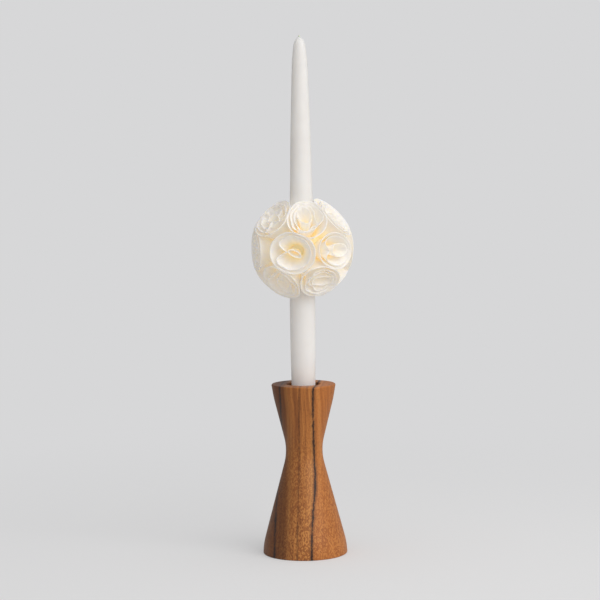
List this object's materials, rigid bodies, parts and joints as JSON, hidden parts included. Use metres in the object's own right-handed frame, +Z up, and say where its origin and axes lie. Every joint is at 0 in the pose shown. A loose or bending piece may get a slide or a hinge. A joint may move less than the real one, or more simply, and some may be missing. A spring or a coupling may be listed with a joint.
{
  "type": "candlestick",
  "caption": "Turned wooden hourglass candlestick with a flared rim and foot, holding a white taper candle that carries a ball of wax roses at mid-height.",
  "frame": {"origin": "centre of the foot, on the surface that the candlestick stands on", "axes": "+Z up along the turning axis and the candle; -Y towards the front, which the viewed roses face; +X to the right as seen from the front"},
  "size_m": [0.0948, 0.0924, 0.4774],
  "materials": {
    "stand_wood": "satin oiled",
    "candle_wax": "satin wax",
    "wick_cotton": "waxed braid",
    "rose_wax": "satin wax"
  },
  "bodies": {
    "candlestick": {"turned_stand": "stand_wood"},
    "candle": {"taper": "candle_wax", "wick": "wick_cotton", "ball_core": "rose_wax", "rose_01_outer_cup": "rose_wax", "rose_01_folded_cup": "rose_wax", "rose_01_heart": "rose_wax", "rose_02_outer_cup": "rose_wax", "rose_02_folded_cup": "rose_wax", "rose_02_heart": "rose_wax", "rose_03_outer_cup": "rose_wax", "rose_03_folded_cup": "rose_wax", "rose_03_heart": "rose_wax", "rose_04_outer_cup": "rose_wax", "rose_04_folded_cup": "rose_wax", "rose_04_heart": "rose_wax", "rose_05_outer_cup": "rose_wax", "rose_05_folded_cup": "rose_wax", "rose_05_heart": "rose_wax", "rose_06_outer_cup": "rose_wax", "rose_06_folded_cup": "rose_wax", "rose_06_heart": "rose_wax", "rose_07_outer_cup": "rose_wax", "rose_07_folded_cup": "rose_wax", "rose_07_heart": "rose_wax", "rose_08_outer_cup": "rose_wax", "rose_08_folded_cup": "rose_wax", "rose_08_heart": "rose_wax", "rose_09_outer_cup": "rose_wax", "rose_09_folded_cup": "rose_wax", "rose_09_heart": "rose_wax", "rose_10_outer_cup": "rose_wax", "rose_10_folded_cup": "rose_wax", "rose_10_heart": "rose_wax", "rose_11_outer_cup": "rose_wax", "rose_11_folded_cup": "rose_wax", "rose_11_heart": "rose_wax", "rose_12_outer_cup": "rose_wax", "rose_12_folded_cup": "rose_wax", "rose_12_heart": "rose_wax", "rose_13_outer_cup": "rose_wax", "rose_13_folded_cup": "rose_wax", "rose_13_heart": "rose_wax", "rose_14_outer_cup": "rose_wax", "rose_14_folded_cup": "rose_wax", "rose_14_heart": "rose_wax", "rose_15_outer_cup": "rose_wax", "rose_15_folded_cup": "rose_wax", "rose_15_heart": "rose_wax", "rose_16_outer_cup": "rose_wax", "rose_16_folded_cup": "rose_wax", "rose_16_heart": "rose_wax", "rose_17_outer_cup": "rose_wax", "rose_17_folded_cup": "rose_wax", "rose_17_heart": "rose_wax"}
  },
  "joints": [
    {"name": "candle_lift", "type": "slide", "parent": "candlestick", "child": "candle", "axis": [0, 0, 1], "range_m": [0, 0.05]}
  ]
}
